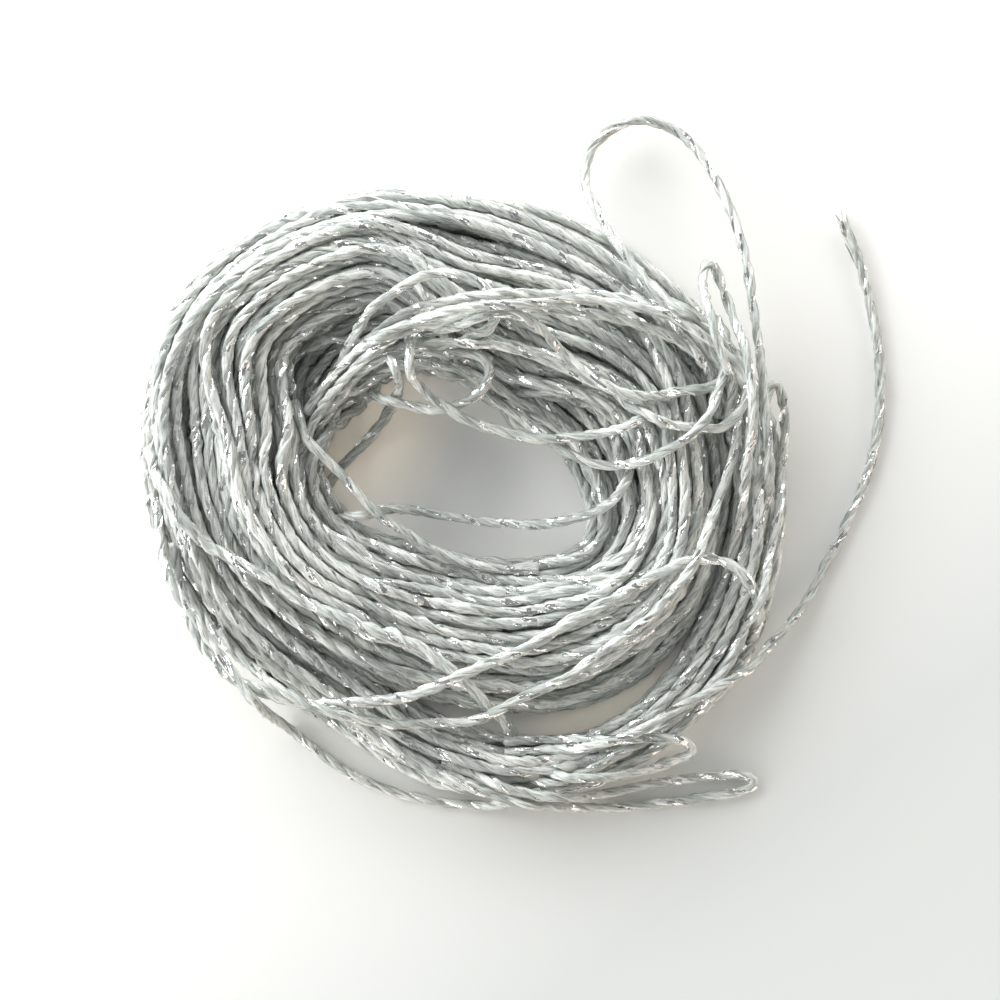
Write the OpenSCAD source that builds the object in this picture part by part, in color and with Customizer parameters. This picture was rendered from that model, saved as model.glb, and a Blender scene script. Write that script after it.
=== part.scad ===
// Loose hank of twisted metallic craft cord, lying flat. Millimetres, +Z up, resting surface at z = 0.
// The hank is one long cord. Each node is a stretch of it: a bundle of turns that lie together is one
// closed solid of the bundle's outer shape, and each stretch that leaves the bundles is a tube.

/* [Cord] */
// Diameter of the twisted cord
cord_d = 1.0; // [0.6:0.1:1.4]

/* [Main coil] */
// Mean radius of the open eye
eye_r = 11; // [9:0.5:13]
// Mean width of the main bundle, from the eye outwards
main_w = 14.5; // [12:0.5:17]
// Height of the main bundle at its fullest
main_h = 10; // [7:0.5:13]

/* [Outer turns] */
// Mean width of the band of turns round the main bundle
outer_w = 4.5; // [3.5:0.5:6]
// Height of that band at its fullest
outer_h = 7.5; // [5:0.5:10]
// Widest gap between the band and the main bundle, at the lower right
crescent_w = 3; // [1:0.2:4]
// Clearance between the band and the main bundle where they lie together
bundle_clear = 0.05; // [0.02:0.01:0.2]

/* [Crossing turns] */
// Width of the flat bundle that crosses over the main coil
crossing_w = 4; // [3:0.5:5]
// Thickness of that bundle
crossing_h = 1.6; // [1:0.1:2.4]
// Clearance between a bundle or a strand and the coil that it lies on
lay_clear = 0.05; // [0.02:0.01:0.2]

/* [Hidden] */

// Place of the eye's centre, which is what every angle below turns about
coil_x = -6.1;
coil_y = 0.8;

// How far each outline departs from its mean, in mm, every 30 degrees from +X towards +Y
eye_shape = [0.5, -2.6, -2.8, -2.0, 0.2, 1.2, 2.6, 1.6, -1.0, -1.2, 1.2, 4.6];
main_shape = [2.0, 0.5, -1.0, -1.5, -0.5, 1.6, 1.0, -0.6, -2.0, -0.8, 2.6, 3.0];
outer_shape = [0.4, -2.0, -2.6, -2.2, -0.3, 0.3, 0.4, 0.8, 1.8, 2.4, -0.8, 0.8];
// How far the top lies below its fullest height, in mm, at the same angles
main_drop = [2.0, 1.2, 0.6, 0, 0, 0.2, 0.6, 1.2, 2.0, 2.6, 3.0, 2.6];
outer_drop = [1.5, 1.8, 2.2, 1.8, 1.0, 0.2, 0, 0.6, 2.0, 2.8, 3.2, 2.4];
// Where the gap between the bundles is widest, and how far it reaches to each side, in degrees
crescent_at = 295;
crescent_reach = 52;

// Power of the rounded section of a bundle: 2 is an ellipse, more is squarer
dome_power = 2.4;
ring_steps = 60;
dome_steps = 12;
cord_sides = 8;
bundle_sides = 12;
cord_ring_gap = 3;
coil_color = "silver";
outer_color = "darkgray";
strand_color = "gainsboro";

// Routes. Each point is [x, y, height of the cord's underside above the resting surface], in mm.
crossing_route = [
    [-12, 13, 9], [-6.5, 15, 9.5], [0.5, 16, 9.5], [8.5, 15.5, 9.5], [15.5, 13.5, 9], [20.5, 10, 7.5],
    [22.5, 5, 6]
];
arch_route = [
    [-16.5, 12.2, 6], [-14.3, 15.5, 9.2], [-12.7, 16.7, 10], [-11, 17.8, 10.4], [-9.4, 18.7, 10.7],
    [-7.4, 19.1, 11], [-5.4, 18.9, 11.2], [-4, 18.4, 11.2], [-3, 17.7, 11.1]
];
top_loop_route = [
    [14.5, 17, 7], [11, 21, 6], [8.5, 25, 4.5], [7, 28.5, 3], [8, 32.5, 2.2], [12, 35, 1.8],
    [16, 34, 1.8], [19, 31, 1.8], [21.5, 26, 2.8], [23, 21, 4], [23.7, 16, 5], [24.5, 10, 6], [25, 4, 6]
];
narrow_loop_route = [
    [20, 12, 6.5], [19, 16, 6], [18.6, 19, 5.5], [19.5, 20.5, 5], [20.6, 18, 5], [22, 14, 5.5],
    [23, 10, 6.5], [23.5, 5, 7], [23, 0, 6.5]
];
right_stub_route = [
    [25, -1, 3], [25, 4, 3.5], [25.2, 7, 3], [26.2, 8.5, 2.5], [27, 6, 2], [27, 2, 2], [26.5, -3, 2],
    [25.5, -8, 2]
];
free_tail_route = [
    [33, 25, 0.3], [33.7, 23.5, 0.2], [35, 20, 0], [36.2, 15, 0], [36.9, 10, 0], [36.8, 5, 0],
    [35.8, 0, 0], [34, -4.5, 0], [31.8, -9, 0], [29, -14, 0.3], [26.5, -17, 0.8], [23.5, -20, 1.8],
    [20, -22, 3.5], [15.5, -24.5, 4.5]
];
outer_route = [
    [-31, -16.5, 1], [-28.5, -20, 0.5], [-25.5, -24, 0], [-21.5, -27.5, 0], [-16.5, -31, 0],
    [-11.5, -33, 0], [-6.5, -33.9, 0], [-3.5, -34.1, 0], [-0.2, -33.5, 0], [2.6, -32.4, 0],
    [6.4, -31.9, 0], [9.6, -30.8, 0], [12.9, -29, 0], [14.7, -27.8, 0], [17.4, -25, 0.3]
];
lower_fold_route = [
    [-3.5, -32.3, 1.8], [-1, -33.1, 1.4], [1.5, -33.7, 1], [4.5, -34.1, 0.5], [8.5, -34.4, 0],
    [11.5, -34.2, 0], [14.5, -33.9, 0], [17.5, -33.6, 0], [20, -33.2, 0], [22.5, -32.8, 0],
    [23.9, -32.2, 0], [24.2, -31.7, 0.1], [23.7, -31.2, 0.2], [22.5, -31, 0.2], [20.5, -31.1, 0.2],
    [17.5, -31.4, 0.3], [14.5, -31.8, 0.4], [11.5, -32.4, 0.6], [8.5, -32.9, 0.8], [5.5, -33.1, 1.1],
    [2.5, -32.9, 1.4], [0, -32.5, 1.6]
];
small_fold_route = [
    [7.5, -27.3, 3.4], [10.5, -27.1, 2.9], [13.5, -27, 2.4], [15.7, -27.1, 1.9], [17, -27.5, 1.4],
    [17.7, -28.1, 1], [17.5, -28.8, 0.8], [16.3, -29.3, 0.8], [14.5, -30, 0.9], [12.5, -30.5, 1.1],
    [10.5, -30.8, 1.3], [8.5, -31, 1.4], [6, -31.1, 1.6], [3.5, -30.9, 2]
];
eye_low_route = [
    [-17.9, -5.3, 1.4], [-15.1, -4.8, 1.8], [-12.2, -4.1, 2.6], [-10, -4.3, 2.8], [-8, -4.7, 2.8],
    [-5.5, -5.1, 2.8], [-3, -5.4, 2.8], [-0.5, -5.6, 2.9], [2, -5.7, 3.1], [4.5, -5.4, 3.5],
    [7, -4.8, 4], [8.7, -4, 4.2]
];
eye_left_route = [
    [-20.7, 2.6, 5.2], [-18.3, 0.3, 5.7], [-17.1, -1, 5.6], [-14.4, -4, 4.9], [-13.1, -5.2, 4.6],
    [-10.1, -7.1, 4.2], [-8.6, -8.1, 4.1], [-6.6, -9, 3.9], [-3.6, -9.9, 3.5], [-0.6, -10.6, 3.2]
];
eye_deep_route = [
    [-19.8, -2.6, 0], [-17.4, 0.3, 0], [-15.6, 2.2, 0], [-14, 3.9, 0.1], [-12.8, 5.5, 0.5],
    [-12, 6.9, 1.2], [-11.6, 8.3, 1.9], [-11.9, 9.6, 2.6]
];
eye_high_route = [
    [-9.8, 13.2, 7.8], [-10.3, 12.2, 8.1], [-10.5, 10.2, 7.9], [-10.4, 9.2, 7.6], [-9.9, 8.4, 7.4],
    [-7.7, 6.4, 6.9], [-5, 4.8, 6.5], [-3, 4.1, 6.3], [-0.5, 3.3, 6.2], [2.5, 2.9, 6.3],
    [5.5, 3, 6.6], [8.5, 3.4, 7]
];
eye_ring_route = [
    [-3.2, 10.9, 6.7], [-2.7, 8.9, 6.7], [-3.3, 7.7, 6.4], [-4.5, 6.8, 5.9], [-6.8, 5.9, 4.7],
    [-9.1, 5.8, 3.7], [-11.8, 6.5, 2.9], [-14.7, 7.6, 2.3], [-16.5, 8.8, 2.1]
];

function unit(v) = v / norm(v);
function smooth_step(t) = let (c = min(1, max(0, t))) c * c * (3 - 2 * c);

// Catmull-Rom curve from b to c, with a and d as the points before and after
function curve(a, b, c, d, t) =
    0.5 * (2 * b + (c - a) * t + (2 * a - 5 * b + 4 * c - d) * t^2 + (3 * b - a - 3 * c + d) * t^3);

// Value of a list that is spread evenly over a full turn, at one angle
function around(list, angle) =
    let (n = len(list), s = (angle % 360 + 360) % 360 / 360 * n, i = floor(s))
    curve(list[(i + n - 1) % n], list[i % n], list[(i + 1) % n], list[(i + 2) % n], s - i);

function crescent(a) = crescent_w * smooth_step(1 - abs(a - crescent_at) / crescent_reach);
function main_in(a) = eye_r + around(eye_shape, a);
function main_out(a) = eye_r + main_w + around(main_shape, a);
function main_top(a) = main_h - around(main_drop, a);
function outer_in(a) = main_out(a) + bundle_clear + crescent(a);
function outer_out(a) = outer_in(a) + outer_w + around(outer_shape, a);
function outer_top(a) = outer_h - around(outer_drop, a);

// Height of a bundle's rounded section at share s of its width, from 0 at the inner edge to 1
function dome(s) = s <= 0 || s >= 1 ? 0 : (1 - abs(2 * s - 1)^dome_power)^(1 / dome_power);
// The same section as points [share of width, share of height], evenly turned over the top
function dome_point(t) =
    let (c = cos(t), p = 2 / dome_power) [(1 - sign(c) * abs(c)^p) / 2, abs(sin(t))^p];

// Height of the coil's upper surface over a point of the resting surface
function coil_top(x, y) =
    let (a = (atan2(y - coil_y, x - coil_x) + 360) % 360, r = norm([x - coil_x, y - coil_y]))
    max(main_top(a) * dome((r - main_in(a)) / (main_out(a) - main_in(a))),
        outer_top(a) * dome((r - outer_in(a)) / (outer_out(a) - outer_in(a))));

// A route that is lifted wherever the coil is higher, so that the cord lies on it
function laid(route) =
    [for (p = route) [p.x, p.y, max(p.z, coil_top(p.x, p.y) + (coil_top(p.x, p.y) > 0 ? lay_clear : 0))]];

// Closed curve section by section round the coil: the bundle's solid, flat underneath
module bundle(section) {
    step = 360 / ring_steps;
    n = dome_steps + 1;
    points = [
        for (i = [0 : ring_steps - 1], k = [0 : dome_steps])
            let (
                a = i * step, s = section[i], q = dome_point(k * 180 / dome_steps),
                r = s[0] + (s[1] - s[0]) * q[0]
            )
            [coil_x + r * cos(a), coil_y + r * sin(a), s[2] * q[1]]
    ];
    faces = [
        for (i = [0 : ring_steps - 1], k = [0 : dome_steps])
            let (j = (i + 1) % ring_steps, m = (k + 1) % n)
            each [[i * n + k, i * n + m, j * n + m], [i * n + k, j * n + m, j * n + k]]
    ];
    polyhedron(points, faces);
}

// Points along a smooth route, a ring's gap apart
function along(route, gap) = [
    for (i = [0 : len(route) - 2])
        let (
            b = route[i], c = route[i + 1], a = i > 0 ? route[i - 1] : 2 * b - c,
            d = i < len(route) - 2 ? route[i + 2] : 2 * c - b, n = max(1, round(norm(c - b) / gap))
        )
        for (k = [0 : n - 1]) curve(a, b, c, d, k / n),
    route[len(route) - 1]
];

// A tube of width w and height h whose underside follows the route
module strand(route, w = cord_d, h = cord_d, sides = cord_sides) {
    path = [for (p = along(route, cord_ring_gap)) [p.x, p.y, max(p.z, 0) + h / 2]];
    last = len(path) - 1;
    points = [
        for (i = [0 : last])
            let (
                t = unit(path[min(i + 1, last)] - path[max(i - 1, 0)]),
                across = unit(cross([0, 0, 1], t)), up = cross(t, across)
            )
            for (k = [0 : sides - 1])
                let (a = k * 360 / sides)
                path[i] + across * cos(a) * w / 2 + up * sin(a) * h / 2
    ];
    sides_faces = [
        for (i = [0 : last - 1], k = [0 : sides - 1])
            let (m = (k + 1) % sides, j = i + 1)
            each [
                [i * sides + k, i * sides + m, j * sides + m],
                [i * sides + k, j * sides + m, j * sides + k]
            ]
    ];
    ends = [
        [for (k = [sides - 1 : -1 : 0]) k],
        [for (k = [0 : sides - 1]) last * sides + k]
    ];
    polyhedron(points, [each sides_faces, each ends]);
}

ring_angles = [for (i = [0 : ring_steps - 1]) i * 360 / ring_steps];

// The main bundle of turns round the eye
module main_coil() {
    color(coil_color) bundle([for (a = ring_angles) [main_in(a), main_out(a), main_top(a)]]);
}

// The band of turns that has slipped outwards, with a crescent gap at the lower right
module outer_turns() {
    color(outer_color) bundle([for (a = ring_angles) [outer_in(a), outer_out(a), outer_top(a)]]);
}

// Turns that cross over the top of the coil side by side
module crossing_turns() {
    color(strand_color) strand(laid(crossing_route), crossing_w, crossing_h, bundle_sides);
}

// Strand that arches up at the upper left and dives back under the crossing turns
module arch_strand() { color(strand_color) strand(laid(arch_route)); }

// Wide loop that stands out at the upper right
module top_loop() { color(strand_color) strand(laid(top_loop_route)); }

// Narrow loop beside it
module narrow_loop() { color(strand_color) strand(laid(narrow_loop_route)); }

// Short loop whose end shows at the right-hand edge
module right_stub_loop() { color(strand_color) strand(laid(right_stub_route)); }

// The cord's loose end, from its frayed tip round the right-hand side into the bottom turns
module free_tail() { color(strand_color) strand(laid(free_tail_route)); }

// Lowest turn, clear of the bundle at the lower left
module outer_strand() { color(strand_color) strand(laid(outer_route)); }

// Flat fold of cord that lies on the resting surface at the lower right
module lower_fold() { color(strand_color) strand(laid(lower_fold_route)); }

// Smaller fold above it
module small_fold() { color(strand_color) strand(laid(small_fold_route)); }

// Strand that spans the eye near its lower edge
module eye_strand_low() { color(strand_color) strand(eye_low_route); }

// Strand that hangs off the eye's left edge
module eye_strand_left() { color(strand_color) strand(eye_left_route); }

// Strand that lies on the resting surface inside the eye
module eye_strand_deep() { color(strand_color) strand(eye_deep_route); }

// Strand that spans the eye near its upper edge
module eye_strand_high() { color(strand_color) strand(eye_high_route); }

// Curl at the eye's upper edge, which runs back to the eye's corner
module eye_ring() { color(strand_color) strand(eye_ring_route); }

main_coil();
outer_turns();
crossing_turns();
arch_strand();
top_loop();
narrow_loop();
right_stub_loop();
free_tail();
outer_strand();
lower_fold();
small_fold();
eye_strand_low();
eye_strand_left();
eye_strand_deep();
eye_strand_high();
eye_ring();
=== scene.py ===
from math import pi

import bpy
import numpy as np
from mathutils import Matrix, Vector


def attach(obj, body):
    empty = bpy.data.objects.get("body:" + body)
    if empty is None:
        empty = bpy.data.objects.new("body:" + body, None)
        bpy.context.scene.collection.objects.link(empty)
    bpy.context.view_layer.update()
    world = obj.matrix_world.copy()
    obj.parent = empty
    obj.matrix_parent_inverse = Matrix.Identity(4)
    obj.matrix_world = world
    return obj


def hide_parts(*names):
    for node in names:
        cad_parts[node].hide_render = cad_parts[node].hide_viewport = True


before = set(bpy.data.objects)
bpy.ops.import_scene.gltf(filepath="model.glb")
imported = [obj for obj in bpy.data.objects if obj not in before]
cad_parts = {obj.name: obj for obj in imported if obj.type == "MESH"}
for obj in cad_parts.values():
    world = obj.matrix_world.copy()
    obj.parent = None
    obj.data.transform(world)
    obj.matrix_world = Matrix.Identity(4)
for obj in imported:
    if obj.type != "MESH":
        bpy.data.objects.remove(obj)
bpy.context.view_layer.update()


# ---------------------------------------------------------------------------------------------
# Camera, table and light. The hank is seen from straight above. The table is matt white card,
# and one large soft lamp at the upper left throws a wide shadow to the right.
# ---------------------------------------------------------------------------------------------
MM = 0.001
CAMERA_AT = (-1.55 * MM, -3.25 * MM, 0.400)
CORD_LEVEL = 5 * MM
SEEN_WIDTH = 100 * MM
SENSOR = 36.0

view_of = bpy.data.cameras.new("view")
view_of.sensor_width = SENSOR
view_of.lens = SENSOR * (CAMERA_AT[2] - CORD_LEVEL) / SEEN_WIDTH
camera = bpy.data.objects.new("camera", view_of)
camera.location = CAMERA_AT
bpy.context.collection.objects.link(camera)
bpy.context.scene.camera = camera
bpy.context.scene.view_settings.view_transform = "Standard"


def linear(hex_color):
    """A hex sRGB colour as linear red, green, blue and 1: ((c + 0.055) / 1.055) ^ 2.4, or c / 12.92."""
    c = np.array([int(hex_color[i:i + 2], 16) for i in (1, 3, 5)]) / 255
    return (*np.where(c > 0.04045, ((c + 0.055) / 1.055) ** 2.4, c / 12.92), 1.0)


def add(tree, kind, inputs=None, stops=(), **settings):
    """Adds a node with its settings. An input is a value, or an output socket that is linked to it, and
    the stops of a colour ramp are places along it with a hex colour each."""
    node = tree.nodes.new(kind)
    for name, value in settings.items():
        setattr(node, name, value)
    for k, (place, hex_color) in enumerate(stops):
        node.color_ramp.elements[k].position = place
        node.color_ramp.elements[k].color = linear(hex_color)
    for key, value in (inputs or {}).items():
        if isinstance(value, bpy.types.NodeSocket):
            tree.links.new(value, node.inputs[key])
        else:
            node.inputs[key].default_value = value
    return node


def new_material(name):
    """An empty node material and its output node."""
    made = bpy.data.materials.new(name)
    made.use_nodes = True
    made.node_tree.nodes.clear()
    return made, made.node_tree, add(made.node_tree, "ShaderNodeOutputMaterial")


# Matt card. The cord is lit by plain card of this tone. For the camera alone it is drawn brighter near
# the window, so that it goes white where no shadow falls, and a third darker away from it, over 40 mm.
# These tones are linear values and not hex colours, because the brightest go past 1.
CARD_TONE = (0.80, 0.77, 0.73, 1)
CARD_NEAR_WINDOW = (1.12, 1.11, 1.09, 1)
CARD_FAR_SIDE = (0.78, 0.79, 0.775, 1)
FROM_WINDOW = (0.60, -0.80, 0)
FADE_FROM, FADE_TO = 0.005, 0.045
# At the eye's left edge and in the crescent it is drawn lighter and warmer, as painted light in place of
# the light that goes to and fro between card and cord, and in the middle of the eye darker, as a painted
# shadow of the hank. Centre and reach in metres, and how many times brighter; the tone is full within a
# share of the reach.
PAINTED_BOUNCE_AND_SHADOW = [
    ((-0.0165, 0.004, 0), 0.012, (1.60, 1.49, 1.36, 1)),
    ((0.009, -0.0225, 0), 0.012, (1.60, 1.49, 1.36, 1)),
    ((-0.006, -0.001, 0), 0.011, (0.74, 0.75, 0.76, 1)),
]
PATCH_FULL = 0.3

card, tree, out = new_material("matt_card")
seen = add(tree, "ShaderNodeLightPath")
spot = add(tree, "ShaderNodeTexCoord")
away = add(tree, "ShaderNodeVectorMath", {0: spot.outputs["Object"], 1: FROM_WINDOW},
           operation="DOT_PRODUCT")
share = add(tree, "ShaderNodeMapRange", {0: away.outputs["Value"], 1: FADE_FROM, 2: FADE_TO, 3: 0.0, 4: 1.0})
fade = add(tree, "ShaderNodeMix", {0: share.outputs[0], 6: CARD_NEAR_WINDOW, 7: CARD_FAR_SIDE},
           data_type="RGBA")
# Painted bounce light and painted shadow of the hank, multiplied into the card's tone for the camera.
for centre, reach, gain in PAINTED_BOUNCE_AND_SHADOW:
    far = add(tree, "ShaderNodeVectorMath", {0: spot.outputs["Object"], 1: centre}, operation="DISTANCE")
    near = add(tree, "ShaderNodeMapRange", {
        0: far.outputs["Value"], 1: PATCH_FULL * reach, 2: reach, 3: 1.0, 4: 0.0},
        interpolation_type="SMOOTHSTEP")
    fade = add(tree, "ShaderNodeMix", {0: near.outputs[0], 6: fade.outputs[2], 7: gain},
               data_type="RGBA", blend_type="MULTIPLY")
shade = add(tree, "ShaderNodeMix", {0: seen.outputs["Is Camera Ray"], 6: CARD_TONE, 7: fade.outputs[2]},
            data_type="RGBA")
surface = add(tree, "ShaderNodeBsdfDiffuse", {"Color": shade.outputs[2]})
tree.links.new(surface.outputs[0], out.inputs[0])

TABLE = 1.5
sheet = bpy.data.meshes.new("table")
sheet.from_pydata([(x * TABLE, y * TABLE, 0) for x, y in ((-1, -1), (1, -1), (1, 1), (-1, 1))],
                  [], [(0, 1, 2, 3)])
sheet.materials.append(card)
table = bpy.data.objects.new("table", sheet)
bpy.context.collection.objects.link(table)

# name, place in metres, size in metres, watts
LAMPS = [
    ("window", (-0.95, 0.80, 0.50), 1.40, 11.0),
]
for name, place, size, watts in LAMPS:
    lamp = bpy.data.lights.new(name, "AREA")
    lamp.shape, lamp.size, lamp.energy = "DISK", size, watts
    holder = bpy.data.objects.new(name, lamp)
    holder.location = place
    holder.rotation_euler = Vector(place).to_track_quat("Z", "Y").to_euler()
    bpy.context.collection.objects.link(holder)

# The room: bright and slightly cool on the window's side, darker and warm on the far side, and dim
# overhead. It is laid out by how far a direction points to the window, and by its height.
TOWARD_WINDOW = (-0.68, 0.66, 0.10)
WALLS_REACH = 0.9
ROOM_STRENGTH = 4.0

world = bpy.data.worlds.new("room")
bpy.context.scene.world = world
world.use_nodes = True
tree = world.node_tree
tree.nodes.clear()
room_out = add(tree, "ShaderNodeOutputWorld")
toward = add(tree, "ShaderNodeTexCoord")
side = add(tree, "ShaderNodeVectorMath", {0: toward.outputs["Generated"], 1: TOWARD_WINDOW},
           operation="DOT_PRODUCT")
wall = add(tree, "ShaderNodeMapRange", {0: side.outputs["Value"], 1: -WALLS_REACH, 2: WALLS_REACH,
                                        3: 0.0, 4: 1.0})
walls = add(tree, "ShaderNodeValToRGB", {0: wall.outputs[0]},
            stops=((0.10, "#989189"), (0.90, "#FAFEFF")))
height = add(tree, "ShaderNodeSeparateXYZ", {0: toward.outputs["Generated"]})
dim = add(tree, "ShaderNodeValToRGB", {0: height.outputs[2]},
          stops=((0.42, "#FFFFFF"), (0.62, "#585858")))
shades = add(tree, "ShaderNodeMix", {0: 1.0, 6: walls.outputs[0], 7: dim.outputs[0]},
             data_type="RGBA", blend_type="MULTIPLY")
room = add(tree, "ShaderNodeBackground", {"Color": shades.outputs[2], "Strength": ROOM_STRENGTH})
tree.links.new(room.outputs[0], room_out.inputs[0])


# ---------------------------------------------------------------------------------------------
# The cord: craft cord about 1 mm thick, of two plies laid round each other. Each ply is a bundle
# of slit film, satin and slightly green-grey, with one narrow strip of silver foil wound round it.
# ---------------------------------------------------------------------------------------------
# in mm: the diameter, one turn of the plies, one turn of the foil round its ply, ring to ring
CORD_D = 1.0
LAY_LENGTH = 6.0
FOIL_TURN = 8.0
RING_STEP = 0.5
# shares of the diameter: a ply's distance from the cord's middle line, half thickness and half width
PLY_OUT = 0.18
PLY_THICK = 0.31
PLY_WIDE = 0.43
STRIPS = 9
# how far each measure strays from even, and over how many rings the stray changes
TWIST_STRAY, TWIST_RINGS = 0.9, 14
SLACK_STRAY, SLACK_RINGS = 0.16, 9
SPIN_STRAY, SPIN_RINGS = 0.5, 11
SWELL_STRAY, SWELL_RINGS = 0.10, 6
FLAT_STRAY, FLAT_RINGS = 0.15, 8
FOIL_STRAY, FOIL_RINGS = 2.5, 12
# how much of the twist a ply turns back; the roughness of single points; where the foil lies hidden
UNTWIST = 0.85
GRAIN = 0.045
HIDDEN_BELOW, HIDDEN_RINGS = -1.2, 8
# the foil is two strips wide while this wave over the rings is above the limit, and one strip elsewhere
WIDE_WAVE, WIDE_ABOVE = 0.9, -0.8

# Slit film: a satin, nearly matt skin of fine lines along the cord, 0.2 mm wide and 2 mm long. Patches
# about 8 mm long differ a little in tone, cool where the film lies smooth and warmer where it is
# crumpled. A pattern's scale is in cells round a ply and cells a millimetre along it.
FILM_LINES = (11.0, 0.55, 1.0)
FILM_PATCHES = (0.7, 0.12, 1.0)
film, tree, out = new_material("slit_film_fibre")
place = add(tree, "ShaderNodeUVMap", uv_map="cord")
stretch = add(tree, "ShaderNodeMapping", {0: place.outputs[0], "Scale": FILM_LINES})
fibres = add(tree, "ShaderNodeTexNoise", {"Vector": stretch.outputs[0], "Scale": 1.0, "Detail": 4.0,
                                          "Roughness": 0.65})
# The lines are lighter where they stand high in the relief and darker where they lie low: the film's own
# grain, with painted sheen on the ridges and painted shade in the furrows.
tone = add(tree, "ShaderNodeValToRGB", {0: fibres.outputs[0]},
           stops=((0.34, "#A7AAA8"), (0.56, "#FBFDFB")))
stretch = add(tree, "ShaderNodeMapping", {0: place.outputs[0], "Scale": FILM_PATCHES})
patches = add(tree, "ShaderNodeTexNoise", {"Vector": stretch.outputs[0], "Scale": 1.0, "Detail": 1.0})
tint = add(tree, "ShaderNodeValToRGB", {0: patches.outputs[0]},
           stops=((0.38, "#CFD2D0"), (0.60, "#FFFFFC")))
tinted = add(tree, "ShaderNodeMix", {0: 1.0, 6: tone.outputs[0], 7: tint.outputs[0]},
             data_type="RGBA", blend_type="MULTIPLY")
relief = add(tree, "ShaderNodeBump", {"Height": fibres.outputs[0], "Strength": 1.0, "Distance": 0.00012})
skin = add(tree, "ShaderNodeBsdfPrincipled", {
    "Base Color": tinted.outputs[2], "Metallic": 0.12, "Roughness": 0.40, "Normal": relief.outputs[0]})
tree.links.new(skin.outputs[0], out.inputs[0])

# Silver foil strip: brighter than the film and crumpled, so it shows as short white dashes where it
# comes round to the top. Crumples 0.4 mm across and 1 mm long.
FOIL_CRUMPLES = (6.0, 1.0, 1.0)
foil, tree, out = new_material("silver_foil_strip")
place = add(tree, "ShaderNodeUVMap", uv_map="cord")
stretch = add(tree, "ShaderNodeMapping", {0: place.outputs[0], "Scale": FOIL_CRUMPLES})
crumples = add(tree, "ShaderNodeTexNoise", {"Vector": stretch.outputs[0], "Scale": 1.0, "Detail": 2.0,
                                            "Roughness": 0.6})
# The foil's colour follows the crumples' height, white on their tops and greyer in their hollows: painted
# highlights and painted shade on the crumples.
painted_highlight_and_shade = add(tree, "ShaderNodeValToRGB", {0: crumples.outputs[0]},
            stops=((0.36, "#D2D4D3"), (0.50, "#FFFFFF")))
relief = add(tree, "ShaderNodeBump", {"Height": crumples.outputs[0], "Strength": 1.0, "Distance": 0.00017})
skin = add(tree, "ShaderNodeBsdfPrincipled", {
    "Base Color": painted_highlight_and_shade.outputs[0], "Metallic": 1.0, "Roughness": 0.18, "Normal": relief.outputs[0]})
tree.links.new(skin.outputs[0], out.inputs[0])


def wander(rng, count, reach):
    """Smooth noise of unit spread: random values every reach steps, joined by 3t^2 - 2t^3 blends."""
    knots = rng.standard_normal(int(count / reach) + 3)
    t = np.arange(count) / reach
    i = t.astype(int)
    f = (t - i) ** 2 * (3 - 2 * (t - i))
    return knots[i] * (1 - f) + knots[i + 1] * f


def between(a, b, c, d, f):
    """The Catmull-Rom curve at a share f of the way from b to c, where a comes before and d after."""
    return 0.5 * (2 * b + (c - a) * f + (2 * a - 5 * b + 4 * c - d) * f ** 2
                  + (3 * b - a - 3 * c + d) * f ** 3)


# samples for each given point over which a curve's length is summed
SAMPLES = 12


def resampled(points, step):
    """Points a step apart on the Catmull-Rom curve through the given ones."""
    points = np.asarray(points, float)
    ends = np.vstack([2 * points[0] - points[1], points, 2 * points[-1] - points[-2]])

    def at(t):
        i = np.minimum(t.astype(int), len(points) - 2)
        return between(*(ends[i + k] for k in range(4)), (t - i)[:, None])

    fine = np.linspace(0, len(points) - 1, SAMPLES * len(points))
    along = np.r_[0, np.cumsum(np.linalg.norm(np.diff(at(fine), axis=0), axis=1))]
    count = max(4, int(round(along[-1] / step)) + 1)
    return at(np.interp(np.linspace(0, along[-1], count), along, fine))


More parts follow.
